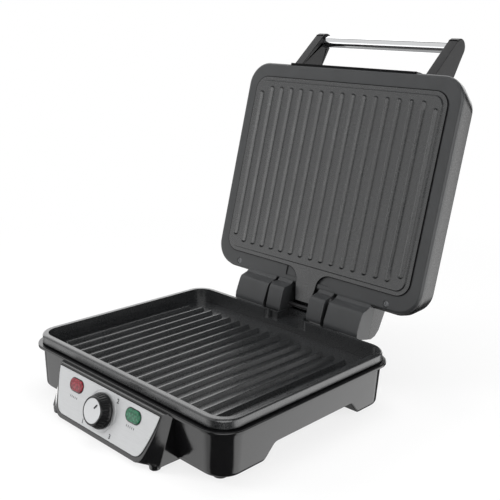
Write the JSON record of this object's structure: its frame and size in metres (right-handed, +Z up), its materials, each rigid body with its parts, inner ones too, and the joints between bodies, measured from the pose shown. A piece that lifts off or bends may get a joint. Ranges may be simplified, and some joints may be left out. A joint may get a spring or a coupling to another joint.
{
  "type": "contact grill",
  "caption": "Table-top contact grill: ribbed lower tray with rear drain channel, hinged floating upper ribbed plate, tube handle and a sloping control panel with knob and signal lenses.",
  "frame": {"origin": "centre of the bounding box's bottom face with the lid open, on the table", "axes": "X across the width, Y towards the back (control panel faces -Y), Z up"},
  "size_m": [0.3156, 0.465, 0.3947],
  "materials": {
    "gloss_black": "gloss",
    "matt_black": "satin",
    "grey_plastic": "satin",
    "rubber": "matt",
    "nonstick": "fine textured non-stick coating",
    "steel": "zinc plated",
    "bracket_steel": "black coated sheet",
    "heater_steel": "oxidised tube",
    "shield_aluminium": "bright sheet",
    "panel_silver": "fine satin",
    "cap_aluminium": "satin",
    "chrome": "polished",
    "red_lens": "gloss",
    "green_lens": "gloss",
    "lamp_glass": "gloss",
    "ivory_plastic": "matt"
  },
  "bodies": {
    "base": {"base_casing": "gloss_black", "bottom_cover": "matt_black", "rubber_feet": "rubber", "foot_screws": "steel", "lower_plate": "nonstick", "plate_screws": "steel", "lower_element": "heater_steel", "lower_element_clips": "steel", "lower_heat_shield": "shield_aluminium", "control_housing": "gloss_black", "control_panel": "panel_silver", "housing_screws": "steel", "power_lens": "red_lens", "ready_lens": "green_lens", "indicator_lamps": "lamp_glass", "thermostat_body": "matt_black", "thermostat_screws": "steel", "hinge_bracket_left": "bracket_steel", "hinge_bracket_right": "bracket_steel", "bracket_screws": "steel", "terminal_block": "ivory_plastic", "cord_gland": "matt_black"},
    "slider": {"hinge_rod": "bracket_steel", "slot_bushes": "matt_black"},
    "knob": {"thermostat_spindle": "steel", "knob_body": "gloss_black", "knob_cap": "cap_aluminium", "knob_pointer": "matt_black"},
    "lid": {"lid_inner_frame": "grey_plastic", "lid_outer_casing": "gloss_black", "upper_plate": "nonstick", "upper_plate_screws": "steel", "upper_element": "heater_steel", "upper_element_clips": "steel", "upper_heat_shield": "shield_aluminium", "frame_screws": "steel", "handle_arm_left": "matt_black", "handle_arm_right": "matt_black", "handle_tube": "chrome", "handle_screws": "steel", "handle_strip": "gloss_black"}
  },
  "joints": [
    {"name": "hinge_float", "type": "slide", "parent": "base", "child": "slider", "axis": [0, 0, 1], "range_m": [0, 0.015]},
    {"name": "lid_hinge", "type": "hinge", "parent": "slider", "child": "lid", "pos_m": [0, 0.0864, 0.069], "axis": [1, 0, 0], "range_deg": [0, 102.87]},
    {"name": "knob_turn", "type": "hinge", "parent": "base", "child": "knob", "pos_m": [0, -0.21588, 0.03114], "axis": [0, 0.9483, -0.3173], "range_deg": [0, 270]}
  ]
}
